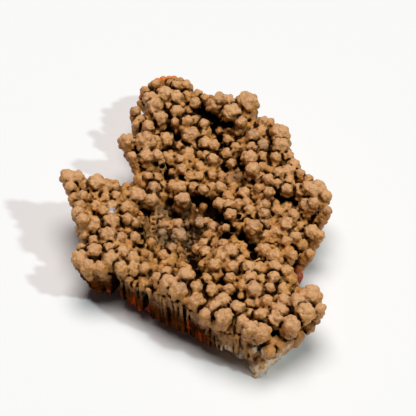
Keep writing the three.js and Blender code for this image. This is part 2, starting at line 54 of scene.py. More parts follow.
# Nodules as [across, up, radius], with the height of their middles and of the feet of their columns.
REGIONS = {
    "head": {
        "height": 12.5, "foot": 6, "lean": 0.1, "nodules": [
            [-13.3, 31.3, 1.3], [-9.5, 31.5, 1.2], [-5.8, 31.0, 1.4], [-10.8, 28.3, 2.3],
            [-8.0, 27.8, 1.9], [-14.5, 27.5, 1.9], [-13.3, 25.3, 2.2], [-12.0, 22.5, 1.8],
            [-15.0, 20.5, 1.6], [-17.0, 22.3, 1.1], [-18.3, 24.3, 1.3], [-18.0, 21.0, 1.1],
            [-5.5, 28.3, 1.3], [-3.3, 26.3, 1.5], [-2.5, 28.8, 1.2], [-0.8, 27.6, 1.2], [-7.8, 24.0, 1.8],
            [-10.0, 25.5, 1.1], [-5.0, 24.5, 1.2], [-5.3, 21.5, 1.6], [-2.8, 22.0, 1.4],
            [-1.0, 21.0, 1.3], [-8.3, 21.5, 1.1], [-8.0, 31.0, 1.3], [-16.0, 29.6, 1.2],
        ],
    },
    "top_right": {
        "height": 15.5, "foot": 7, "lean": 0.15, "nodules": [
            [1.5, 25.5, 2.1], [2.8, 27.4, 1.5], [5.0, 26.8, 1.6], [5.8, 23.8, 2.3], [8.3, 21.3, 1.5],
            [10.0, 26.0, 2.7], [8.0, 26.8, 1.5], [9.3, 28.3, 1.1],
        ],
    },
    "upper_left_pair": {
        "height": 14, "foot": 10, "lean": 0.4, "nodules": [
            [-20.0, 16.3, 2.2], [-15.5, 16.3, 2.5], [-13.3, 16.5, 1.6], [-18.8, 12.8, 1.3],
            [-15.3, 12.8, 1.8], [-12.5, 13.0, 1.4],
        ],
    },
    "upper_middle": {
        "height": 11, "foot": 4, "lean": 0, "nodules": [
            [3.0, 19.3, 1.3], [-4.3, 18.0, 2.2], [-1.0, 18.5, 1.1], [-0.5, 16.0, 1.8], [1.5, 15.5, 1.5],
            [-3.3, 15.3, 1.3], [-10.5, 16.8, 2.1], [-12.8, 18.8, 1.1], [-5.0, 13.5, 1.6],
            [-7.0, 15.5, 1.2], [-0.5, 13.0, 1.3], [1.3, 12.0, 1.5], [-9.8, 12.0, 2.0], [-7.0, 12.0, 1.3],
            [7.3, 17.5, 1.4], [5.0, 17.0, 1.2], [6.8, 15.0, 1.3], [4.5, 13.3, 1.5], [5.8, 11.0, 1.3],
            [-2.0, 10.5, 1.3], [1.0, 8.0, 1.2], [3.3, 7.8, 1.3], [5.8, 7.8, 1.3], [7.8, 7.5, 1.3],
            [10.5, 5.0, 1.4], [8.8, 3.5, 1.5], [6.3, 5.3, 1.2], [3.0, 5.0, 1.5], [5.0, 2.8, 1.5],
            [0.8, 5.0, 1.3],
        ],
    },
    "upper_right": {
        "height": 14.5, "foot": 6, "lean": 0.1, "nodules": [
            [13.8, 21.5, 1.5], [15.5, 21.3, 1.2], [13.5, 19.0, 1.6], [11.3, 17.8, 1.8], [18.0, 18.3, 2.5],
            [18.0, 15.3, 2.0], [13.8, 15.3, 1.8], [10.8, 14.8, 1.5], [10.3, 12.3, 2.0], [13.5, 12.5, 1.5],
            [16.8, 12.5, 1.3], [19.8, 12.8, 1.5], [21.3, 10.5, 1.6], [11.0, 9.5, 1.8], [13.5, 10.0, 1.4],
            [17.3, 8.5, 1.5], [19.8, 8.8, 1.8], [20.0, 6.6, 1.4], [22.8, 8.3, 1.4], [24.8, 7.0, 1.2],
            [12.8, 7.3, 1.5], [14.8, 7.0, 1.4], [17.0, 5.8, 1.3], [19.5, 4.5, 1.5], [22.3, 4.8, 1.3],
            [15.0, 3.8, 1.4], [12.5, 4.8, 1.2],
        ],
    },
    "right_knob": {
        "height": 15, "foot": 7, "lean": 0.4, "nodules": [
            [26.5, 3.8, 2.9], [24.5, 5.0, 1.6], [28.8, 3.0, 1.5], [25.8, 1.2, 1.4], [29.2, -0.6, 1.1],
            [23.8, 0.8, 1.5],
        ],
    },
    "left_tip": {
        "height": 16.5, "foot": 9, "lean": 0.3, "nodules": [
            [-34.3, 7.5, 2.0], [-31.8, 7.6, 1.5], [-31.0, 6.0, 1.6], [-33.6, 5.0, 1.5], [-32.8, 2.3, 1.4],
            [-30.6, 3.0, 1.3], [-31.3, 0.6, 1.4], [-31.6, -1.2, 1.6], [-30.3, -2.9, 1.6],
        ],
    },
    "left_lobes": {
        "height": 14.5, "foot": 7, "lean": 0.25, "nodules": [
            [-27.3, 6.0, 2.2], [-25.3, 5.0, 1.8], [-22.8, 5.0, 1.2], [-28.0, 2.8, 1.5], [-25.0, 2.5, 1.4],
            [-22.5, 3.0, 1.2], [-27.5, 0.3, 1.6], [-25.6, -0.7, 1.4], [-23.5, 0.5, 1.4],
            [-28.3, -4.2, 2.2], [-23.5, -3.5, 2.0], [-24.3, -6.8, 2.2], [-20.0, -0.3, 1.8],
            [-19.8, -2.9, 1.6], [-17.8, -3.9, 1.3], [-21.0, -7.3, 1.5], [-17.8, -7.3, 1.5],
            [-31.2, -5.0, 1.2], [-29.8, -6.8, 1.3], [-27.6, -8.0, 1.4],
        ],
    },
    "lower_left": {
        "height": 13.5, "foot": 4, "lean": 0.35, "nodules": [
            [-27.5, -10.5, 1.9], [-30.7, -9.8, 1.3], [-31.0, -12.2, 2.0], [-28.9, -14.3, 2.0],
            [-24.0, -9.8, 1.4], [-23.5, -12.5, 2.1], [-20.5, -10.6, 1.6], [-18.3, -12.3, 1.8],
            [-17.8, -14.8, 1.8], [-15.2, -14.6, 1.4], [-26.0, -14.3, 1.5], [-21.0, -14.4, 1.6],
            [-15.4, -18.3, 1.2],
        ],
    },
    "centre_left": {
        "height": 11.5, "foot": 5, "lean": 0, "nodules": [
            [-17.5, 2.8, 2.2], [-14.0, 1.8, 1.8], [-17.0, 7.0, 1.5], [-14.8, 7.8, 1.2], [-12.8, 7.3, 1.5],
            [-13.3, 5.0, 1.5], [-20.3, 3.2, 1.3], [-11.0, 5.3, 1.3], [-8.8, 5.3, 1.2], [-7.0, 4.8, 1.8],
            [-6.3, 1.8, 2.0], [-4.5, 7.5, 1.4], [-3.5, 5.0, 1.4], [-1.3, 4.3, 1.3], [-2.0, 7.8, 1.3],
            [-8.8, 8.5, 1.3], [-6.5, 9.5, 1.4], [-15.0, 10.0, 1.2], [-11.5, 9.6, 1.3],
        ],
    },
    "basin": {
        "height": 7.5, "foot": 4, "lean": 0, "nodules": [
            [-12.0, -1.8, 1.3], [-7.5, -4.0, 1.4], [-5.3, -4.3, 1.2], [-7.0, -7.0, 2.1],
            [-11.2, -6.3, 1.2], [-2.0, -3.8, 1.5], [-0.3, -4.3, 1.9], [1.2, -4.8, 1.5], [0.0, -7.0, 1.4],
            [-0.8, -8.8, 1.5], [-2.8, -10.3, 1.4], [-0.5, -11.0, 1.6], [-8.8, -9.8, 1.3],
            [-11.0, -11.5, 1.4], [-14.0, -8.5, 1.3],
        ],
    },
    "right_centre": {
        "height": 12.5, "foot": 5, "lean": 0, "nodules": [
            [2.8, 1.0, 1.5], [5.0, 0.6, 1.5], [7.3, 1.0, 1.3], [9.5, 1.3, 1.3], [5.5, -1.8, 1.6],
            [4.3, -5.0, 1.1], [13.8, 0.5, 1.5], [16.3, 0.8, 1.4], [13.5, 2.3, 1.3], [13.8, -1.5, 1.5],
            [10.3, -0.7, 1.6], [17.5, -1.3, 1.4], [19.5, 0.0, 1.6], [21.0, -1.8, 1.6], [11.0, -4.8, 2.0],
            [14.0, -3.7, 1.5], [16.8, -6.0, 1.9], [19.0, -4.0, 1.8], [14.0, -6.8, 1.4],
            [13.3, -10.3, 1.8], [16.0, -12.0, 1.8], [3.8, -8.8, 1.3], [19.0, -8.2, 1.4],
        ],
    },
    "right_edge": {
        "height": 12, "foot": 7, "lean": 0.5, "nodules": [
            [25.5, -2.1, 1.5], [25.3, -5.8, 1.8], [27.2, -6.6, 1.2], [22.8, -9.0, 1.4],
            [24.6, -11.1, 1.2], [22.6, -4.6, 1.4], [21.2, -7.0, 1.4], [20.4, -11.4, 1.3],
        ],
    },
    "ridge": {
        "height": 14.5, "foot": 5, "lean": 0, "nodules": [
            [5.5, -10.5, 1.7], [3.5, -12.0, 1.9], [1.5, -13.8, 1.6], [6.0, -14.5, 1.8], [5.3, -17.0, 1.5],
            [9.8, -14.3, 1.6], [11.6, -14.6, 1.4], [13.8, -14.8, 1.5], [16.0, -14.2, 1.6],
            [15.8, -16.7, 1.5], [18.8, -15.3, 1.6], [10.0, -17.0, 1.8], [-0.3, -17.0, 1.3],
            [7.6, -12.6, 1.4], [12.8, -17.2, 1.4],
        ],
    },
    "front_knobs": {
        "height": 15.5, "foot": 4.5, "lean": 0.25, "nodules": [
            [-9.3, -18.0, 2.1], [-5.5, -16.5, 2.3], [-10.0, -15.3, 1.4], [-7.0, -19.8, 2.2],
            [-12.0, -16.8, 1.4], [-2.8, -19.0, 1.6], [-3.0, -22.3, 2.2], [-0.5, -25.3, 1.6],
            [1.0, -19.8, 1.7], [3.5, -22.3, 2.0], [3.8, -25.8, 2.1], [1.5, -23.5, 1.4], [7.0, -23.8, 1.8],
            [8.2, -26.8, 1.5], [5.0, -19.4, 1.4],
        ],
    },
    "front_right": {
        "height": 14.5, "foot": 8, "lean": 0.35, "nodules": [
            [11.0, -19.8, 2.2], [14.8, -19.3, 1.4], [17.8, -19.5, 1.6], [9.8, -23.0, 1.4],
            [12.0, -22.8, 1.3], [9.8, -25.0, 1.3], [12.5, -25.5, 1.6], [14.0, -22.3, 1.6],
            [17.0, -24.5, 2.0], [16.0, -26.3, 2.0], [19.8, -27.8, 2.2], [24.3, -21.3, 2.8],
            [21.3, -22.8, 2.3], [23.0, -25.0, 2.5], [26.7, -24.0, 1.4], [18.0, -22.0, 1.6],
            [10.0, -28.5, 2.0], [12.5, -29.5, 2.3],
        ],
    },
    "front_foot": {
        "height": 9, "foot": 7, "lean": 0.3, "nodules": [
            [1.3, -29.3, 1.5], [4.2, -30.2, 1.6], [7.4, -31.4, 1.5], [18.8, -31.6, 1.6],
            [17.0, -32.8, 1.4], [14.3, -34.0, 1.6], [24.0, -28.6, 1.6], [21.6, -30.2, 1.4],
            [10.6, -33.2, 1.4],
        ],
    },
}
CRUST_PLATE = [
    [-53.0, 10.5, 16.5, 5, 7, 8.5, 7.5],
    [-50.0, 5, 20, 4, 8, 10, 8],
    [-45.5, -2.3, 24, 2.8, 8, 10, 9],
    [-40.0, -11, 25, 2.8, 9, 9, 9],
    [-35.0, -17.5, 22, 2.8, 9, 8, 9],
    [-31.0, -23, 20, 3, 9, 6.5, 9],
    [-28.5, -27.5, 20, 4.5, 9, 6, 9],
    [-25.0, -30, 20, 5.5, 10, 5.5, 9],
    [-19.0, -30, 24, 6, 11, 6, 8],
    [-13.0, -31, 26, 6.5, 12, 6, 9],
    [-8.0, -32, 26, 7, 12, 7, 9],
    [-4.5, -32, 23, 7, 12, 7, 9],
    [-1.5, -19.5, 21, 6, 9, 7, 9],
    [9.0, -17, 18, 6, 9, 7, 10],
    [17.0, -17, 13, 5, 9, 8, 10],
    [23.0, -15, 9, 5, 9, 9, 11],
    [27.0, -14, 1, 5, 9, 9, 9],
    [31.0, -12, -5, 6, 9, 9, 9],
]
ROCK_SLAB = [
    [-54.5, 11, 13.5, 0, 3, 4.5, 3],
    [-50.0, 9, 17, 0, 4.5, 6, 4.5],
    [-46.0, 3.5, 20, 0, 4.5, 6, 4.5],
    [-42.0, -3, 21, 0, 5, 6, 5],
    [-38.0, -10, 20.5, 0, 5, 5.5, 5],
    [-34.0, -16, 20.5, 0, 4.5, 5, 6],
    [-30.0, -20, 21, 0, 4, 5, 7],
    [-25.0, -22, 23, 0, 4, 4.5, 7],
    [-20.0, -23, 21.5, 0, 4.5, 4.5, 6],
    [-8.0, -21, 19, 0, 5, 5, 5],
    [0.0, -16, 17, 0, 4.5, 5, 5],
    [9.0, -15, 15, 0, 5, 5, 5],
    [18.0, -15, 10, 0, 5, 5.5, 5],
    [26.0, -16.5, 0, 0, 7, 6, 5],
    [30.0, -16.5, -4, 0, 8.5, 8, 6],
    [34.5, -12.5, -6.5, 0, 9.5, 10, 8.5],
]

# The dark gaps between clusters of nodules, as [across, up, radius].
GAPS = [
    [-1.3, 23.8, 1.6], [1.8, 22.0, 1.1], [4.0, 20.8, 1.1], [-9.8, 23.2, 1.1], [-9.8, 19.0, 0.9],
    [-8.0, 17.5, 0.9], [-11.3, 14.0, 0.7], [-11.0, 11.3, 0.7], [-9.8, 8.5, 1.0], [-6.3, 7.5, 0.8],
    [2.8, 18.0, 0.8], [2.8, 15.3, 0.8], [1.8, 20.5, 0.9], [4.3, 9.5, 0.8], [-4.8, 26.0, 0.7],
    [-2.0, 2.3, 1.0], [-0.5, 2.0, 0.9], [1.0, -1.0, 1.4], [2.8, -2.5, 1.3], [4.3, -3.5, 0.8],
    [-8.5, -1.8, 0.9], [-9.3, 1.3, 0.9], [-16.0, -0.8, 0.8], [-14.8, -1.3, 0.7], [-3.5, -13.8, 1.5],
    [-2.8, -16.3, 1.0], [-4.5, -12.0, 0.8], [4.3, -6.8, 1.0], [6.0, -5.3, 0.7], [8.3, -7.0, 1.0],
    [10.5, -9.8, 1.0], [11.0, -11.8, 1.0], [12.5, -13.3, 0.8], [9.5, 7.5, 0.7], [11.3, 6.3, 0.7],
    [17.0, 3.0, 0.8], [18.5, 2.0, 0.8], [21.3, 1.0, 0.8], [7.5, -2.0, 0.6], [-0.5, -19.3, 0.8],
    [3.3, -18.5, 1.0], [5.5, -20.8, 1.2], [8.0, -22.8, 0.8], [12.5, -17.3, 0.6], [18.8, -23.0, 0.8],
    [20.3, -25.8, 0.6], [21.8, -27.5, 0.8], [15.5, -30.0, 0.6], [1.3, -26.0, 0.6], [-28.3, -7.5, 0.6],
    [-25.3, -14.8, 0.6], [-16.4, -9.0, 0.9], [-16.6, -5.3, 0.8], [-16.4, -7.2, 0.7], [-11.5, 10.3, 0.6],
    [-9.0, 8.0, 0.8], [-3.2, 25.2, 1.1], [0.4, 23.3, 1.2], [5.4, 20.9, 0.9], [8.0, 12.0, 0.8],
    [8.7, 9.8, 0.8], [-3.8, 2.1, 0.8], [1.6, 1.3, 0.9], [2.8, 16.8, 0.7], [-12.8, 10.8, 0.6],
    [20.0, 2.0, 0.7],
]

# Recesses in the wall under the front left rim, as [across, along, radius].
RECESSES = [
    [-21.6, -30.8, 1.3],
    [-13.5, -35.9, 1.6],
    [8.3, -49.0, 1.8],
]
RECESS_CLEAR = 1.25  # how far the wall's ridges keep from a recess, in shares of its radius
RECESS_STEPS = (-1.0, 0.5, 2.0)  # how deep in the wall the middles of a recess lie
RECESS_TOP = 10.0

RIGHT_UNDER = 3.0  # the least height of the crust's underside on its right
WALL_OUT = np.array([-0.642, -0.766, 0.0])  # square to the front left wall
WALL_ALONG = np.array([0.766, -0.642, 0.0])
WALL_LEAN = 0.08  # how far the wall comes out for each millimetre up
WALL_FIRST = -53.0
WALL_LAST = -24.5
WALL_STEP = 0.5
WALL_LAYERS = (0.0, 0.7)  # how far back the outer and the inner ridges stand
WALL_BENDS = (0.35, 0.7, 1.0)  # where a ridge bends, in shares of its height
RIM_INWARD = 2.5  # how far in from the wall the height of its rim is taken
BEADED = 0.4  # the share of the bends that carry a bead

# The grid that the crust and the rock are meshed on.
LOW = np.array([-37.0, -49.0, -1.0])
HIGH = np.array([37.0, 49.0, 20.5])
CRUST_STEP = 0.3
ROCK_STEP = 0.4
ROCK_HIGH = 14.0  # the rock is all lower than this
FAR = 4.0  # the distance that the grid starts with, in millimetres
MARGIN = 1.2  # how far around a form its distance is kept
MOST_TRIANGLES = 190000


def frame_random(seed=20):
    """The seeded stream that the frame's own nodules were set out with."""
    while True:
        seed = (seed * 1664525 + 1013904223) % 2**32
        yield seed / 2**32


def placed(across, up, height):
    """A place seen at [across, up] and standing at a height, in the specimen's own frame."""
    along = (up - height * math.cos(SIGHT)) / math.sin(SIGHT)
    return np.array([across - MIDDLE_X, along - MIDDLE_Y, height])


def seen_nodules():
    """Each nodule's head, foot and radius, with the foot drawn in by its region's lean."""
    stream = frame_random()
    made = []
    for region in REGIONS.values():
        for across, up, radius in region["nodules"]:
            head = placed(across, up, region["height"] + UNEVEN * (next(stream) - 0.5))
            inward = -head[:2] / np.linalg.norm(head[:2])
            foot = head[:2] + inward * region["lean"] * (head[2] - region["foot"])
            foot = np.append(foot, region["foot"])
            made.append((head, foot, radius))
    return made


class Field:
    """Signed distances on a grid of points, negative inside, in millimetres."""

    def __init__(self, step):
        self.step = step
        self.shape = tuple(np.ceil((HIGH - LOW) / step).astype(int) + 1)
        self.values = np.full(self.shape, FAR, np.float32)
        self.axes = [LOW[k] + step * np.arange(self.shape[k]) for k in range(3)]

    def block(self, low, high):
        """The slices of a box of the grid and the points in it."""
        first = np.maximum(np.floor((low - LOW) / self.step).astype(int), 0)
        last = np.minimum(np.ceil((high - LOW) / self.step).astype(int) + 1, self.shape)
        cut = tuple(slice(a, max(a, b)) for a, b in zip(first, last))
        points = np.meshgrid(*(self.axes[k][cut[k]] for k in range(3)), indexing="ij")
        return cut, points

    def join(self, cut, distance, blend):
        """Joins a distance to the field, rounded where they meet by about the blend."""
        old = self.values[cut]
        near = np.maximum(blend - np.abs(old - distance), 0) / blend
        self.values[cut] = np.minimum(old, distance) - near * near * blend / 4

    def from_rod(self, start, end, start_radius, end_radius):
        """The block around a rod with round ends, and the distance to it there."""
        widest = max(start_radius, end_radius) + MARGIN
        cut, (x, y, z) = self.block(np.minimum(start, end) - widest, np.maximum(start, end) + widest)
        run = end - start
        length = max(float(run @ run), 1e-9)
        share = ((x - start[0]) * run[0] + (y - start[1]) * run[1] + (z - start[2]) * run[2]) / length
        share = np.clip(share, 0, 1)
        away = np.sqrt(
            (x - start[0] - share * run[0]) ** 2
            + (y - start[1] - share * run[1]) ** 2
            + (z - start[2] - share * run[2]) ** 2
        )
        return cut, away - start_radius - share * (end_radius - start_radius)

    def rod(self, start, end, start_radius, end_radius, blend=0.1):
        """Joins a rod with round ends."""
        cut, distance = self.from_rod(start, end, start_radius, end_radius)
        self.join(cut, distance, blend)

    def bore(self, start, end, start_radius, end_radius):
        """Takes a rod with round ends away."""
        cut, distance = self.from_rod(start, end, start_radius, end_radius)
        self.values[cut] = np.maximum(self.values[cut], -distance)

    def ball(self, middle, radius, blend=0.1):
        """Joins a ball."""
        cut, (x, y, z) = self.block(middle - radius - MARGIN, middle + radius + MARGIN)
        away = np.sqrt((x - middle[0]) ** 2 + (y - middle[1]) ** 2 + (z - middle[2]) ** 2)
        self.join(cut, away - radius, blend)


def sampled(values, places):
    """A grid's values at places given in cells, between its points."""
    places = np.clip(places, 0, np.array(values.shape) - 1.001)
    first = places.astype(int)
    share = places - first
    total = np.zeros(len(places))
    for corner in range(8):
        step = np.array([corner & 1, (corner >> 1) & 1, corner >> 2])
        weight = np.prod(np.where(step, share, 1 - share), axis=1)
        total += weight * values[tuple((first + step).T)]
    return total


def noise(points, size, seed):
    """Smooth noise from -1 to 1 over points, with features of about a size."""
    lattice = np.random.RandomState(seed).uniform(-1, 1, (32, 32, 32))
    lattice = np.pad(lattice, (0, 1), mode="wrap")
    places = np.mod(points / size, 32)
    first = np.floor(places)
    share = places - first
    return sampled(lattice, first + share * share * (3 - 2 * share))


def eased(value, start, end):
    """How far a value has gone from a start to an end, eased at both."""
    share = np.clip((value - start) / (end - start), 0, 1)
    return share * share * (3 - 2 * share)


def station_values(stations, along):
    """The listed values of a plate at places along it."""
    table = np.array(stations)
    return [np.interp(along, table[:, 0], table[:, k]) for k in range(1, table.shape[1])]


def plate_shape(stations, x, y):
    """How far places lie outside a plate's outline, and its underside and top there."""
    left, right, under, top_left, top_middle, top_right = station_values(stations, y + MIDDLE_Y)
    across = x + MIDDLE_X
    spot = np.clip(2 * (across - left) / (right - left), 0, 2)
    left_top = top_left + spot * (top_middle - top_left)
    right_top = top_middle + (spot - 1) * (top_right - top_middle)
    top = np.where(spot < 1, left_top, right_top)
    along = y + MIDDLE_Y
    beyond = np.maximum(stations[0][0] - along, along - stations[-1][0])
    outside = np.maximum(np.maximum(left - across, across - right), beyond)
    under = np.where(spot < 1, under, np.maximum(under, RIGHT_UNDER))
    return outside, under, top, np.abs(spot - 1)


ROCK_LEVEL = 2.0  # how low the crust's plate reaches in its middle, where the rock takes its place
ROCK_GAP = 0.1  # what the crust keeps clear of the rock
ROCK_COVER = 1.2  # what is left of the crust over the rock in its deepest gaps
GOLDEN = math.pi * (3 - math.sqrt(5))
SPREAD = 2.0  # how far a nodule's height counts for the level around it
GAP_DEPTH = 4.0
SHAFT_RISE = 2.5  # how far a gap's shaft starts over the ground there
SHAFT_DEPTH = 5.0
SHAFTS_PER_GAP = 5
BEADS_PER_GAP = 4
BEAD_RING = 1.15  # how far from a gap's middle its beads stand, in shares of its radius
DROP = 2.0  # how far the crowd of small nodules lies under the heads
CROWDED = 0.15  # how much of the heads' nearness makes a crowd
SHOULDER = 2.2  # how much lower the mass is at its edge
SHOULDER_WIDE = 2.0
WAVY = 0.7  # how much its top rises and falls
COLUMN_CORE = 0.75  # a column's radius under its head, as a share of the head's
COLUMN_RING = 0.85  # the same for the ring of nodules around it
COLUMN_FOOT = 0.7  # the same for its foot
COLUMN_FLARE = 1.2
COLUMN_NODULE = 1.7  # no nodule on a column is sized for a larger head than this
# The lesser nodules and the beads: spacing, least and greatest radius, lift, and depth in the mass.
LESSER = (
    (1.6, 0.75, 1.3, 1.6, 0.1),
    (0.95, 0.4, 0.65, 0.3, -0.1),
)
BEAD_RADIUS = 0.7  # what is smaller than this is a bead
HEAD_CORE = 0.82  # the ball inside a lobed head, as a share of the head's radius
LARGE_HEAD = 1.6  # larger heads than this have smaller and more lobes
PLUMP = 1.08  # how much bigger a nodule is here than its radius in the list
CEILING = 19.0  # what the lobes of the highest nodules stay under


def level_map(x, y, nodules):
    """The height of the nodules' heads around each place, and how near they are."""
    weight = np.full(x.shape, 1e-9)
    total = np.zeros(x.shape)
    for head, _, _ in nodules:
        near = np.exp(-((x - head[0]) ** 2 + (y - head[1]) ** 2) / (2 * SPREAD**2))
        weight += near
        total += near * head[2]
    return total / weight, weight


def on_map(field, grid, x, y):
    """A map's value at places, between its points."""
    cells = np.stack([(x - LOW[0]) / field.step, (y - LOW[1]) / field.step, np.zeros(np.shape(x))], -1)
    return sampled(np.stack([grid, grid], 2), cells.reshape(-1, 3))


def gap_spots(field, ground):
    """The dark gaps, each with the height at which its line of sight comes down to the ground."""
    heights = np.arange(HIGH[2], 3.0, -0.2)
    made = []
    for across, up, radius in GAPS:
        line = np.stack([placed(across, up, height) for height in heights])
        met = heights < on_map(field, ground, line[:, 0], line[:, 1])
        made.append((across, up, float(heights[np.argmax(met)]), radius))
    return made


def gap_map(x, y, gaps):
    """How deep the dark gaps are at each place, in millimetres."""
    depth = np.zeros(x.shape)
    for across, up, height, radius in gaps:
        spot = placed(across, up, height)
        away = np.hypot(x - spot[0], y - spot[1])
        depth = np.maximum(depth, GAP_DEPTH * np.clip(1.9 - away / radius, 0, 1))
    return depth


def gap_shade(places, gaps):
    """How far places lie down in the gaps, each taken along its line of sight."""
    across = places[:, 0] + MIDDLE_X
    up = (places[:, 1] + MIDDLE_Y) * math.sin(SIGHT) + places[:, 2] * math.cos(SIGHT)
    shade = np.zeros(len(places))
    for gap_across, gap_up, height, radius in gaps:
        away = np.hypot(across - gap_across, up - gap_up) / radius
        shade = np.maximum(shade, eased(away, 1.2, 0.8) * eased(places[:, 2], height + 2.5, height + 1.5))
    return shade


def column(field, random, head, foot, radius):
    """The column under a nodule, flared at the right edge, with smaller nodules all the way down it."""
    outside = plate_shape(CRUST_PLATE, head[0], head[1])[0]
    at_edge = eased(outside, -4.0, -1.0) * eased(head[0], 8.0, 14.0) * eased(head[1], -25.0, -20.0)
    base = COLUMN_FOOT * radius + COLUMN_FLARE * at_edge
    field.rod(head, foot, COLUMN_CORE * radius, 0.9 * base)
    run = foot - head
    depth = 0.9 * radius
    while depth < head[2] - foot[2]:
        share = depth / (head[2] - foot[2])
        core = head + run * share
        width = COLUMN_RING * radius + share * (base - COLUMN_RING * radius)
        count = 5 + int(2 * at_edge)
        for angle in random.uniform(0, 2 * math.pi) + np.arange(count) * 2 * math.pi / count:
            size = min(radius, COLUMN_NODULE) * random.uniform(0.4, 0.66)
            ring = width * random.uniform(0.6, 0.95)
            middle = core + [ring * math.cos(angle), ring * math.sin(angle), random.uniform(-0.4, 0.4)]
            field.ball(middle, size, blend=0.05)
        depth += random.uniform(0.8, 1.2)


def lobed_head(field, random, head, radius):
    """A nodule's head, a ball that low round lobes cover."""
    lobe_share = random.uniform(0.36, 0.44) if radius > LARGE_HEAD else random.uniform(0.46, 0.56)
    count = int(2.5 / lobe_share**2)
    turn = random.uniform(0, 2 * math.pi)
    field.ball(head, HEAD_CORE * radius)
    for n in range(count):
        rise = 1 - 1.6 * (n + 0.5) / count
        ring = math.sqrt(max(1 - rise * rise, 0))
        angle = turn + n * GOLDEN + random.uniform(-0.3, 0.3)
        way = np.array([ring * math.cos(angle), ring * math.sin(angle), rise])
        lobe = radius * lobe_share * random.uniform(0.8, 1.2)
        middle = head + way * (radius * random.uniform(0.98, 1.16) - lobe)
        middle[2] = min(middle[2], CEILING - lobe)
        field.ball(middle, lobe, blend=0.05)


def fill(field, nodules):
    """The mass of the crust: the plate, and what fills the space between the columns up to a level."""
    x, y = np.meshgrid(field.axes[0], field.axes[1], indexing="ij")
    outside, under, top, side = plate_shape(CRUST_PLATE, x, y)
    rock_top = plate_shape(ROCK_SLAB, x, y)[2]
    level, weight = level_map(x, y, nodules)
    spread = np.stack([x.ravel(), y.ravel(), np.zeros(x.size)], 1)
    wavy = noise(spread, 2.6, 5).reshape(x.shape)
    shoulder = SHOULDER * np.clip(1 + outside / SHOULDER_WIDE, 0, 1) ** 2
    crowd = np.where(weight > CROWDED, level - DROP - shoulder + WAVY * wavy, 0)
    ground = np.maximum(top - 0.5 + WAVY * wavy - shoulder, crowd)
    gaps = gap_spots(field, ground)
    gap = gap_map(x, y, gaps)
    top = np.maximum(ground - gap, np.minimum(rock_top + ROCK_COVER, ground))
    rough = 0.6 * noise(spread, 3.0, 6).reshape(x.shape)
    hollow = ROCK_LEVEL + (under - ROCK_LEVEL) * side
    z = field.axes[2][None, None, :]
    flared = (outside + rough + 1.0)[:, :, None] - WALL_LEAN * (z - 2)
    distance = np.maximum(np.maximum(flared, 0.8 * (z - top[:, :, None])), hollow[:, :, None] - z)
    field.values = np.minimum(field.values, distance).astype(np.float32)
    return level, gaps, gap, top


def small_nodules(field, random, gap, top):
    """The lesser nodules between the columns, and the small beads on the mass that they stand in."""
    for spacing, least, most, lift, sunk in LESSER:
        across_grid, along_grid = (np.arange(LOW[k] + 3, HIGH[k] - 3, spacing) for k in range(2))
        x, y = np.meshgrid(across_grid, along_grid)
        x = x.ravel() + random.uniform(-0.4, 0.4, x.size) * spacing
        y = y.ravel() + random.uniform(-0.4, 0.4, y.size) * spacing
        radii = random.uniform(least, most, x.size)
        heights = on_map(field, top, x, y) - sunk + lift * random.uniform(0, 1, x.size)
        kept = plate_shape(CRUST_PLATE, x, y)[0] < -0.5
        in_the_open = (on_map(field, gap, x, y) < 1.0) & (basin_share(x, y) < 0.5)
        kept &= (radii < BEAD_RADIUS) | in_the_open
        for px, py, pz, radius in zip(x[kept], y[kept], heights[kept], radii[kept]):
            middle = np.array([px, py, pz])
            field.rod(middle, middle - [0, 0, 1.0 + lift], radius, 0.85 * radius, blend=0.05)


def wall(field, random, level):
    """Thin ridges down the wall under the front left rim, from the rim's nodules to its lower edge."""
    for along in np.arange(WALL_FIRST, WALL_LAST, WALL_STEP):
        for layer in WALL_LAYERS:
            place = along + random.uniform(-0.25, 0.25)
            left, _, under, _, _, _ = station_values(CRUST_PLATE, place)
            if any(math.hypot(left - a, place - b) < RECESS_CLEAR * r for a, b, r in RECESSES):
                continue
            out = random.uniform(-0.6, 0.2) - layer
            foot = np.array([left - MIDDLE_X, place - MIDDLE_Y, 0.0]) + WALL_OUT * out
            foot[2] = under + random.uniform(-0.4, 0.8)
            inner = foot - WALL_OUT * RIM_INWARD
            rim = on_map(field, level, inner[0], inner[1])[0] - random.uniform(1.0, 4.0)
            points = [foot]
            for share in WALL_BENDS:
                height = foot[2] + share * (rim - foot[2])
                lean = WALL_LEAN * (height - foot[2]) + random.uniform(-0.3, 0.3)
                spot = foot + WALL_OUT * lean + WALL_ALONG * random.uniform(-0.3, 0.3)
                points.append(np.array([spot[0], spot[1], height]))
            thick = random.uniform(0.28, 0.5)
            for start, end in zip(points, points[1:]):
                field.rod(start, end, thick, thick * random.uniform(0.85, 1.3))
            for point in points[1:]:
                if random.uniform(0, 1) < BEADED:
                    field.ball(point + WALL_OUT * 0.15, random.uniform(0.4, 0.7), blend=0.12)


def recess_distance(x, y, z):
    """The distance to the hollows that are cut back into the wall."""
    distance = np.full(np.broadcast(x, y, z).shape, FAR)
    for across, along, radius in RECESSES:
        spot = np.array([across - MIDDLE_X, along - MIDDLE_Y])
        for depth in RECESS_STEPS:
            middle = spot - WALL_OUT[:2] * depth
            away = np.hypot(x - middle[0], y - middle[1]) - radius * np.clip(1.25 - z / 14, 0.3, 1.2)
            distance = np.minimum(distance, np.maximum(away, z - RECESS_TOP))
    return distance


ROCK_WIDEST = 2.2  # the height where the rock's sides stand out the furthest
ROCK_ROUGH = 0.8  # how far its broken faces stand in and out


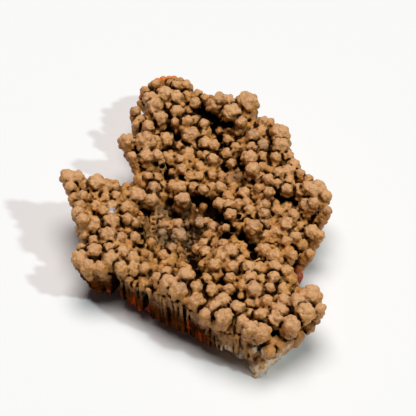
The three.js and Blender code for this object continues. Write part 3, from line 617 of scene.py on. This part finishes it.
def rock_distance(x, y, z):
    """The distance to the rock, with broken sides and a flat cut under it."""
    outside, under, top, _ = plate_shape(ROCK_SLAB, x, y)
    points = np.stack([x.ravel(), y.ravel(), z.ravel()], 1)
    broken = 0.9 * noise(points, 3.1, 11) + 0.55 * noise(points, 1.3, 12) + 0.4 * noise(points, 0.8, 13)
    slope = 0.35 * np.abs(z - ROCK_WIDEST)
    near_tip = eased(y + MIDDLE_Y, -44.0, -49.0)
    ragged = noise(points, 1.0, 14) + 0.7 * noise(points * [1.0, 1.0, 0.5], 0.7, 15)
    body = np.maximum(outside + slope * 0.6 + 0.2, z - top) + ROCK_ROUGH * broken.reshape(x.shape)
    body = body + ROCK_ROUGH * near_tip * ragged.reshape(x.shape)
    return np.maximum(body, -z)


def net(values, step):
    """The closed skin of a field: a vertex in each cell that it crosses, and a quad for each crossing."""
    values = values.copy()
    for axis in range(3):
        for end in (0, -1):
            edge = [slice(None)] * 3
            edge[axis] = end
            values[tuple(edge)] = np.maximum(values[tuple(edge)], 0.5 * step)
    inside = values < 0
    shape = np.array(values.shape)
    count = np.zeros(shape - 1, np.int8)
    for corner in range(8):
        a, b, c = corner & 1, (corner >> 1) & 1, corner >> 2
        count += inside[a:shape[0] - 1 + a, b:shape[1] - 1 + b, c:shape[2] - 1 + c]
    cells = np.argwhere((count > 0) & (count < 8))
    number = np.full(shape - 1, -1, np.int64)
    number[tuple(cells.T)] = np.arange(len(cells))
    total = np.zeros((len(cells), 3))
    crossings = np.zeros(len(cells))
    for corner in range(8):
        start = np.array([corner & 1, (corner >> 1) & 1, corner >> 2])
        for axis in range(3):
            if start[axis]:
                continue
            end = start.copy()
            end[axis] = 1
            here = values[tuple((cells + start).T)].astype(float)
            there = values[tuple((cells + end).T)].astype(float)
            cross = (here < 0) != (there < 0)
            share = here[cross] / (here[cross] - there[cross])
            total[cross] += start
            total[cross, axis] += share
            crossings[cross] += 1
    vertices = LOW + step * (cells + total / crossings[:, None])
    quads = []
    for axis in range(3):
        u, v = (axis + 1) % 3, (axis + 2) % 3
        front = np.moveaxis(inside, axis, 0)
        where = np.argwhere(front[:-1] != front[1:])
        order = np.argsort([axis, *(k for k in range(3) if k != axis)])
        where = where[:, order]
        where = where[(where[:, u] > 0) & (where[:, v] > 0)]
        u_step = np.eye(3, dtype=int)[u]
        v_step = np.eye(3, dtype=int)[v]
        ring = [where, where - u_step, where - u_step - v_step, where - v_step]
        ring = np.stack([number[tuple(corner.T)] for corner in ring], 1)
        flip = ~inside[tuple(where.T)]
        ring[flip] = ring[flip][:, ::-1]
        quads.append(ring)
    return vertices, np.concatenate(quads)


def largest_part(vertices, quads):
    """The mesh without the loose crumbs that aren't joined to its main skin."""
    label = np.arange(len(vertices))
    while True:
        least = label[quads].min(axis=1)
        new = label.copy()
        for k in range(4):
            np.minimum.at(new, quads[:, k], least)
        new = new[new]
        if (new == label).all():
            break
        label = new
    keep = label == np.bincount(label).argmax()
    number = np.cumsum(keep) - 1
    return vertices[keep], number[quads[keep[quads[:, 0]]]]


def mesh_object(name, vertices, quads):
    """A smooth-shaded Blender mesh of millimetre vertices and quads."""
    mesh = bpy.data.meshes.new(name)
    mesh.vertices.add(len(vertices))
    mesh.vertices.foreach_set("co", (vertices * MM).astype(np.float32).ravel())
    mesh.loops.add(quads.size)
    mesh.loops.foreach_set("vertex_index", quads.astype(np.int32).ravel())
    mesh.polygons.add(len(quads))
    mesh.polygons.foreach_set("loop_start", np.arange(0, quads.size, 4, dtype=np.int32))
    mesh.update(calc_edges=True)
    mesh.validate()
    mesh.shade_smooth()
    piece = bpy.data.objects.new(name, mesh)
    bpy.context.scene.collection.objects.link(piece)
    return piece


def thinned(piece, most):
    """The piece with its triangles brought under a limit, where its surface is flattest."""
    triangles = 2 * len(piece.data.polygons)
    if triangles > most:
        modifier = piece.modifiers.new("thin", "DECIMATE")
        modifier.ratio = most / triangles
        bpy.context.view_layer.update()
        graph = bpy.context.evaluated_depsgraph_get()
        mesh = bpy.data.meshes.new_from_object(piece.evaluated_get(graph))
        piece.modifiers.clear()
        piece.data = mesh
        mesh.shade_smooth()
    return piece


def points_of(piece):
    """A piece's vertices and their normals, in millimetres."""
    mesh = piece.data
    places = np.empty(3 * len(mesh.vertices), np.float32)
    mesh.vertices.foreach_get("co", places)
    normals = np.empty(3 * len(mesh.vertices), np.float32)
    mesh.vertices.foreach_get("normal", normals)
    return places.reshape(-1, 3).astype(float) / MM, normals.reshape(-1, 3).astype(float)


def paint(piece, name, values):
    """Keeps a value from 0 to 1 at each vertex, for the piece's material."""
    layer = piece.data.attributes.new(name, "FLOAT", "POINT")
    layer.data.foreach_set("value", np.clip(values, 0, 1).astype(np.float32))


def openness(field, places, normals, reach):
    """How open the surface is at a scale: 1 on the crown of a lobe, near 0 down in a crease."""
    cells = (places + normals * reach - LOW) / field.step
    return np.clip(sampled(field.values, cells) / reach, 0, 1)


TIP = (14, -38, 1)  # [across, up, height]
BASIN = (-10, -6.5, 7)
BASIN_RADIUS = 9
# Stains, and a flake whose whitish colour is a painted glint, each as [across, up, height, radius].
ORANGE_SPOTS = [
    [-13.4, 32.4, 11.2, 1.5],
    [-11.6, 33.4, 11.5, 1.8],
    [-9.4, 33.8, 11.5, 1.7],
    [-17.4, 27.6, 10, 1.9],
    [-18.2, 22.0, 9, 1.2],
    [22.3, -15.4, 7.5, 1.9],
    [23.0, -13.4, 7.0, 1.3],
]
RUST_SPOTS = [
    [-23.5, -21.0, 3, 1.7],
    [-16.8, -23.5, 4, 2.1],
    [-3.4, -28.0, 8, 1.9],
    [-2.4, -30.8, 5, 2.3],
]
FLAKE = [-23.5, -0.6, 15.6, 1.0]
CREAM_SPOTS = [
    [4.5, -33.6, 5, 2.3],
    [11.8, -33.2, 10, 2.0],
    [13.6, -37.5, 3, 3.6],
    [16.8, -35.6, 5, 1.8],
    [19.4, -34.2, 7, 1.9],
    [8.0, -35.0, 4, 1.5],
]
RIM_FOOT = np.array([0.8, 0.93, 1.0])  # where a rim bead's foot is, as shares of its own place
# Small beads along the back rim of the head, as [across, up, height, radius].
RIM_BEADS = [
    [-17.2, 26.5, 10, 0.9],
    [-16.6, 28.0, 10, 1.0],
    [-15.6, 29.8, 10.5, 0.8],
    [-14.4, 31.0, 10.5, 1.0],
    [-12.9, 32.2, 11, 0.9],
    [-11.4, 32.6, 11, 1.0],
    [-9.9, 32.9, 11, 0.8],
    [-8.6, 32.7, 11, 1.0],
    [-7.0, 32.4, 11, 0.9],
    [-5.8, 31.8, 11, 0.8],
    [-4.6, 30.8, 11, 0.9],
]


def basin_share(x, y):
    """How much of the basin there is at places: 1 in its middle."""
    middle = placed(*BASIN)
    return eased(np.hypot((x - middle[0]) / BASIN_RADIUS, (y - middle[1]) / BASIN_RADIUS), 1.2, 0.6)


def spotted(places, spots, ragged, over=0.0):
    """How much of the nearest of some spots there is at places, on top of what is there already."""
    for across, up, height, radius in spots:
        away = np.linalg.norm(places - placed(across, up, height), axis=1)
        over = np.maximum(over, eased(away + ragged, radius, 0.65 * radius))
    return over


def stain(piece, places):
    """The stains: rust at the wall's foot, orange at the rim, cream at the tip, olive in the basin;
    besides them, painted shade down the wall under its rim, dark streaks down the wall and the flake with
    its painted glint.
    """
    x, y, z = places.T
    mottle = noise(places, 2.2, 21) + 0.6 * noise(places, 0.9, 22)
    outside = plate_shape(CRUST_PLATE, x, y)[0]
    on_wall = eased(outside, -2.6, -1.2) * eased(y + MIDDLE_Y, -20, -28) * eased(x, 18.0, 8.0)
    low = eased(z + 1.6 * mottle, 6.0, 2.5)
    tip = placed(*TIP)
    near_tip = eased(np.hypot(x - tip[0], y - tip[1]), 15, 8)
    streak = noise(places * [1.0, 1.0, 0.2], 0.8, 27)
    rust = on_wall * low * eased(mottle, 0.4, 0.9) * (1 - 0.5 * near_tip)
    rust = spotted(places, RUST_SPOTS, 0.8 * mottle, rust)
    paint(piece, "rust", rust * eased(streak, -0.1, 0.2))
    paint(piece, "streak", 0.75 * on_wall * eased(z, 11.0, 8.0) * eased(streak, -0.1, -0.5))
    paint(piece, "orange", spotted(places, ORANGE_SPOTS, 0.7 * mottle))
    # Painted shade: the wall darkens under its rim, from 12.5 mm down to 8.5 mm.
    paint(piece, "wall", on_wall * (1 - near_tip) * eased(z + 1.5 * mottle, 12.5, 8.5))
    red = eased(z + 1.2 * noise(places, 1.6, 23), 3.5, 1.5)
    paint(piece, "red", on_wall * red * eased(mottle, -0.3, 0.4))
    cream = near_tip * eased(z + 1.8 * noise(places, 1.3, 24), 4.5, 2.2)
    ragged = 1.1 * noise(places, 1.1, 25) + 0.5 * noise(places, 0.5, 26)
    paint(piece, "cream", spotted(places, CREAM_SPOTS, ragged, cream))
    paint(piece, "amber", near_tip * eased(z + 1.5 * ragged, 8.0, 5.5))
    # The flake's whitish colour is a painted glint.
    paint(piece, "flake", spotted(places, [FLAKE], 0.0))
    olive = basin_share(x + 2.0 * mottle, y)
    paint(piece, "olive", olive)
    return olive


def sink_gaps(field, random, gaps):
    """The shafts of the dark gaps, each with a few beads around its mouth."""
    for across, up, height, radius in gaps:
        bottom = placed(across, up, height - SHAFT_DEPTH)
        rock_top = plate_shape(ROCK_SLAB, bottom[0], bottom[1])[2]
        bottom = placed(across, up, max(height - SHAFT_DEPTH, float(rock_top) + ROCK_COVER + radius))
        for _ in range(SHAFTS_PER_GAP):
            shift = random.uniform(-0.55, 0.55, 2) * radius
            width = radius * random.uniform(0.6, 0.9)
            opening = placed(across + shift[0], up + shift[1], height + SHAFT_RISE)
            field.bore(opening, bottom + [shift[0], 0, 0], width, 0.8 * width)
        for _ in range(BEADS_PER_GAP):
            angle = random.uniform(0, 2 * math.pi)
            spot = placed(across, up, height - random.uniform(1.0, 3.0))
            spot[:2] += BEAD_RING * radius * np.array([math.cos(angle), math.sin(angle)])
            field.ball(spot, random.uniform(0.4, 0.7))


NEAR = 0.5  # the scales at which the crust's creases are found
FAR_OUT = 1.1


def paint_crust(piece, field, level, gaps):
    """Everything that the crust's material needs to know at each vertex."""
    places, normals = points_of(piece)
    paint(piece, "open_near", openness(field, places, normals, NEAR))
    paint(piece, "open_wide", openness(field, places, normals, FAR_OUT))
    under_heads = on_map(field, level, places[:, 0], places[:, 1]) - places[:, 2]
    outside = plate_shape(CRUST_PLATE, places[:, 0], places[:, 1])[0]
    at_side = eased(outside, -3.0, -1.0)
    in_basin = stain(piece, places)
    # Painted shade: near-black where a place lies far under the heads' level, less at the sides and in the
    # basin, and down each gap along its line of sight.
    deep = eased(under_heads, 0.4, 3.6) * (1 - 0.75 * at_side) * (1 - 0.85 * in_basin)
    paint(piece, "deep", np.maximum(deep, gap_shade(places, gaps)))
    # Painted shade on the lower flanks, the sides that face sideways and down.
    paint(piece, "flank_shade", 0.8 * eased(normals[:, 2], 0.5, -0.2) * (1 - at_side))
    # Painted highlight on the crowns: the tops of heads that stand over the level and face up.
    paint(piece, "crown", eased(-under_heads, -0.3, 2.0) * eased(normals[:, 2], 0.2, 0.9))
    # Painted shade inside the recesses cut into the wall.
    paint(piece, "recess", eased(recess_distance(*places.T), 0.6, 0.0))


def make_crust(nodules):
    """The crust's fine mesh: its mass, what stands on it, and what is taken out of it."""
    random = np.random.RandomState(3)
    field = Field(CRUST_STEP)
    level, gaps, gap, top = fill(field, nodules)
    small_nodules(field, random, gap, top)
    wall(field, random, level)
    for head, foot, radius in nodules:
        column(field, random, head, foot, radius)
    sink_gaps(field, random, gaps)
    x, y, z = np.meshgrid(*field.axes, indexing="ij", sparse=True)
    field.values = np.maximum(field.values, -recess_distance(x, y, z)).astype(np.float32)
    for head, _, radius in nodules:
        lobed_head(field, random, head, PLUMP * radius)
    for across, up, height, radius in RIM_BEADS:
        spot = placed(across, up, height)
        field.rod(spot, spot * RIM_FOOT - [0, 0, 3], radius, 0.8 * radius)
    x, y, z = np.meshgrid(*field.axes, indexing="ij")
    solid = np.maximum(field.values, -rock_distance(x, y, z) + ROCK_GAP)
    piece = mesh_object("crust_skin", *largest_part(*net(solid, field.step)))
    thinned(piece, MOST_TRIANGLES)
    paint_crust(piece, field, level, gaps)
    return piece


def make_rock():
    """The rock's fine mesh, with its stains."""
    counts = [int((HIGH[k] - LOW[k]) / ROCK_STEP) + 1 for k in range(3)]
    axes = [LOW[k] + ROCK_STEP * np.arange(counts[k]) for k in range(3)]
    axes[2] = axes[2][axes[2] < ROCK_HIGH]
    x, y, z = np.meshgrid(*axes, indexing="ij")
    piece = mesh_object("rock_skin", *largest_part(*net(rock_distance(x, y, z), ROCK_STEP)))
    stain(piece, points_of(piece)[0])
    return piece


def node(tree, kind, **inputs):
    """A shader node with some of its inputs set or linked."""
    made = tree.nodes.new("ShaderNode" + kind)
    for name, value in inputs.items():
        spaced = name.replace("_", " ")
        socket = made.inputs[spaced if spaced in made.inputs else name]
        if isinstance(value, bpy.types.NodeSocket):
            tree.links.new(value, socket)
        else:
            socket.default_value = value
    return made


def attribute(tree, name):
    """A value that was painted on the piece's vertices."""
    made = tree.nodes.new("ShaderNodeAttribute")
    made.attribute_name = name
    return made.outputs["Fac"]


def ramp(tree, value, stops):
    """A colour ramp over (place, colour) stops."""
    made = node(tree, "ValToRGB", Fac=value)
    elements = made.color_ramp.elements
    while len(elements) < len(stops):
        elements.new(0.5)
    for element, (place, colour) in zip(elements, stops):
        element.position = place
        element.color = (*colour, 1)
    return made.outputs["Color"]


def mixed(tree, amount, first, second, mode="MIX"):
    """Two colours mixed by an amount."""
    made = tree.nodes.new("ShaderNodeMix")
    made.data_type = "RGBA"
    made.blend_type = mode
    for socket, value in ((made.inputs[0], amount), (made.inputs[6], first), (made.inputs[7], second)):
        if isinstance(value, bpy.types.NodeSocket):
            tree.links.new(value, socket)
        elif isinstance(value, tuple):
            socket.default_value = (*value, 1)
        else:
            socket.default_value = value
    return made.outputs[2]


def math_node(tree, operation, first, second=0.0, third=0.0):
    """What a sum makes of one to three values."""
    made = tree.nodes.new("ShaderNodeMath")
    made.operation = operation
    for socket, value in zip(made.inputs, (first, second, third)):
        if isinstance(value, bpy.types.NodeSocket):
            tree.links.new(value, socket)
        else:
            socket.default_value = value
    return made.outputs[0]


def new_material(name, roughness):
    """An empty material with its shader's roughness, and the tree, shader and object coordinates."""
    material = bpy.data.materials.new(name)
    material.use_nodes = True
    tree = material.node_tree
    shader = tree.nodes["Principled BSDF"]
    shader.inputs["Roughness"].default_value = roughness
    place = tree.nodes.new("ShaderNodeTexCoord").outputs["Object"]
    return material, tree, shader, place


TAN = (0.68, 0.34, 0.1)
BROWN = (0.54, 0.225, 0.046)
OLIVE = (0.19, 0.1, 0.033)
# painted shade on the lower flanks
FLANK_SHADE = (0.36, 0.33, 0.3)
# painted shade in the creases
CREASE_SHADE = (0.03, 0.011, 0.003)
# the near-black of the painted shade deep under the heads, in the gaps and in the recesses; the wall's
# dark streaks use it too
DEEP = (0.009, 0.004, 0.002)
# painted shade down the wall under the rim
WALL_SHADE = (0.24, 0.14, 0.1)
# painted highlight on the crowns
CROWN_HIGHLIGHT = (0.82, 0.48, 0.27)
ORANGE = (0.85, 0.22, 0.025)
AMBER = (0.72, 0.3, 0.06)
# painted glint on the flake
FLAKE_GLINT = (0.8, 0.8, 0.85)
RUST = (0.62, 0.075, 0.006)
DEEP_RED = (0.2, 0.022, 0.006)
CREAM = (0.92, 0.68, 0.46)


def crust_material():
    """Golden brown and finely grained, with a pinkish painted highlight on the crowns; painted shade on
    the lower flanks and down the wall, nearly black in the creases, deep under the heads, in the gaps and
    in the recesses.
    """
    material, tree, shader, place = new_material("mottramite_brown", 0.45)
    patch = node(tree, "TexNoise", Vector=place, Scale=150.0, Detail=3.0, Roughness=0.6).outputs["Fac"]
    basin = math_node(tree, "MULTIPLY", attribute(tree, "olive"), 0.2)
    olive_patch = math_node(tree, "SUBTRACT", patch, basin)
    colour = ramp(tree, olive_patch, [(0.24, OLIVE), (0.42, BROWN), (0.72, TAN)])
    grain = node(tree, "TexNoise", Vector=place, Scale=2600.0, Detail=2.0, Roughness=0.7).outputs["Fac"]
    grainy = ramp(tree, grain, [(0.3, (0.6, 0.54, 0.5)), (0.5, (1.0, 1.0, 1.0)), (0.72, (1.45, 1.5, 1.6))])
    colour = mixed(tree, 0.8, colour, grainy, "MULTIPLY")
    # Painted shade on the lower flanks.
    colour = mixed(tree, attribute(tree, "flank_shade"), colour, mixed(tree, 1.0, colour, FLANK_SHADE, "MULTIPLY"))
    # Painted shade down the wall under the rim.
    colour = mixed(tree, attribute(tree, "wall"), colour, mixed(tree, 1.0, colour, WALL_SHADE, "MULTIPLY"))
    # Painted highlight on the crowns.
    colour = mixed(tree, math_node(tree, "MULTIPLY", attribute(tree, "crown"), 0.5), colour, CROWN_HIGHLIGHT)
    tints = {
        "amber": AMBER,
        "red": DEEP_RED,
        "rust": RUST,
        "orange": ORANGE,
        "cream": CREAM,
        # the flake's painted glint
        "flake": FLAKE_GLINT,
    }
    for name, tint in tints.items():
        colour = mixed(tree, attribute(tree, name), colour, tint)
    # Painted shade: the creases darken to near-black, at a near and at a wide scale.
    near = ramp(tree, attribute(tree, "open_near"), [(0.25, (0.0, 0.0, 0.0)), (0.85, (1.0, 1.0, 1.0))])
    wide = ramp(tree, attribute(tree, "open_wide"), [(0.05, (0.0, 0.0, 0.0)), (0.6, (1.0, 1.0, 1.0))])
    colour = mixed(tree, wide, CREASE_SHADE, colour)
    colour = mixed(tree, near, CREASE_SHADE, colour)
    # Painted shade: near-black deep under the heads and down the gaps.
    colour = mixed(tree, attribute(tree, "deep"), colour, DEEP)
    # Painted shade in the recesses; and the near-black streaks down the wall.
    for name in ("recess", "streak"):
        colour = mixed(tree, attribute(tree, name), colour, DEEP)
    tree.links.new(colour, shader.inputs["Base Color"])
    # No sheen where shade is painted, deep under the heads and down the wall.
    hidden = math_node(tree, "MAXIMUM", attribute(tree, "deep"), attribute(tree, "wall"))
    shown = math_node(tree, "SUBTRACT", 1.0, hidden)
    sheen = math_node(tree, "MULTIPLY", shown, attribute(tree, "open_wide"))
    tree.links.new(math_node(tree, "MULTIPLY", sheen, 0.45), shader.inputs["Specular IOR Level"])
    beads_size = node(tree, "TexVoronoi", Vector=place, Scale=1100.0).outputs["Distance"]
    fine = node(tree, "TexNoise", Vector=place, Scale=3500.0, Detail=2.0).outputs["Fac"]
    height = math_node(tree, "MULTIPLY_ADD", beads_size, -1.2, fine)
    bump = node(tree, "Bump", Height=height, Strength=1.0, Distance=0.00028).outputs["Normal"]
    tree.links.new(bump, shader.inputs["Normal"])
    return material


def rock_material():
    """Iron-stained rock: rusty orange and dark red, with cream calcite at the tip."""
    material, tree, shader, place = new_material("iron_stained_rock", 0.8)
    patch = node(tree, "TexNoise", Vector=place, Scale=420.0, Detail=5.0, Roughness=0.75).outputs["Fac"]
    stops = [(0.36, (0.10, 0.015, 0.004)), (0.48, DEEP_RED), (0.56, RUST), (0.7, (0.85, 0.36, 0.1))]
    colour = ramp(tree, patch, stops)
    calcite = ramp(tree, patch, [(0.44, AMBER), (0.5, CREAM), (0.6, (0.95, 0.82, 0.68))])
    colour = mixed(tree, attribute(tree, "amber"), colour, AMBER)
    colour = mixed(tree, attribute(tree, "orange"), colour, ORANGE)
    colour = mixed(tree, attribute(tree, "cream"), colour, calcite)
    tree.links.new(colour, shader.inputs["Base Color"])
    fine = node(tree, "TexNoise", Vector=place, Scale=1100.0, Detail=5.0, Roughness=0.7).outputs["Fac"]
    bump = node(tree, "Bump", Height=fine, Strength=1.0, Distance=0.0008).outputs["Normal"]
    tree.links.new(bump, shader.inputs["Normal"])
    return material


def floor_and_lights():
    """A pale floor, a broad light overhead, and a small one from the front on the right."""
    bpy.ops.mesh.primitive_plane_add(size=3.0, location=(0, 0, -0.00005))
    floor = bpy.context.object
    floor.name = "floor"
    material, _, shader, _ = new_material("floor_white", 0.9)
    shader.inputs["Base Color"].default_value = (0.86, 0.86, 0.86, 1)
    shader.inputs["Specular IOR Level"].default_value = 0.1
    floor.data.materials.append(material)
    for name, toward, strength, angle, colour in (
        ("overhead", (0.0, 0.14, 1.0), 2.7, 36.0, (1.0, 0.955, 0.935)),
        ("side", (0.8, -0.353, 1.0), 1.12, 4.0, (0.84, 0.99, 1.0)),
    ):
        sun = bpy.data.objects.new(name, bpy.data.lights.new(name, "SUN"))
        sun.data.energy = strength
        sun.data.angle = math.radians(angle)
        sun.data.color = colour
        sun.rotation_euler = Vector(toward).to_track_quat("Z", "Y").to_euler()
        bpy.context.scene.collection.objects.link(sun)
    world = bpy.data.worlds.new("studio")
    world.use_nodes = True
    world.node_tree.nodes["Background"].inputs["Color"].default_value = (1, 1, 1, 1)
    world.node_tree.nodes["Background"].inputs["Strength"].default_value = 0.03
    bpy.context.scene.world = world
    bpy.context.scene.view_settings.view_transform = "Standard"


def camera():
    """The camera, a long lens looking down the line of sight at the middle of the layout."""
    data = bpy.data.cameras.new("camera")
    data.lens = LENS
    data.sensor_width = SENSOR
    data.clip_end = 10.0
    made = bpy.data.objects.new("camera", data)
    target = Vector((-MIDDLE_X * MM, -MIDDLE_Y * MM, 0))
    away = Vector((0, -math.cos(SIGHT), math.sin(SIGHT)))
    made.location = target + away * FRAME_WIDTH * MM * LENS / SENSOR
    made.rotation_euler = away.to_track_quat("Z", "Y").to_euler()
    bpy.context.scene.collection.objects.link(made)
    bpy.context.scene.camera = made


camera()
floor_and_lights()
crust = make_crust(seen_nodules())
rock = make_rock()
for piece, body, cad_node, slot, material in (
    (crust, "root", "mottramite_crust", "mottramite", crust_material()),
    (rock, "root", "matrix", "iron_stained_rock", rock_material()),
):
    piece.data.materials.append(material)
    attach(piece, body)
    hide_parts(cad_node)
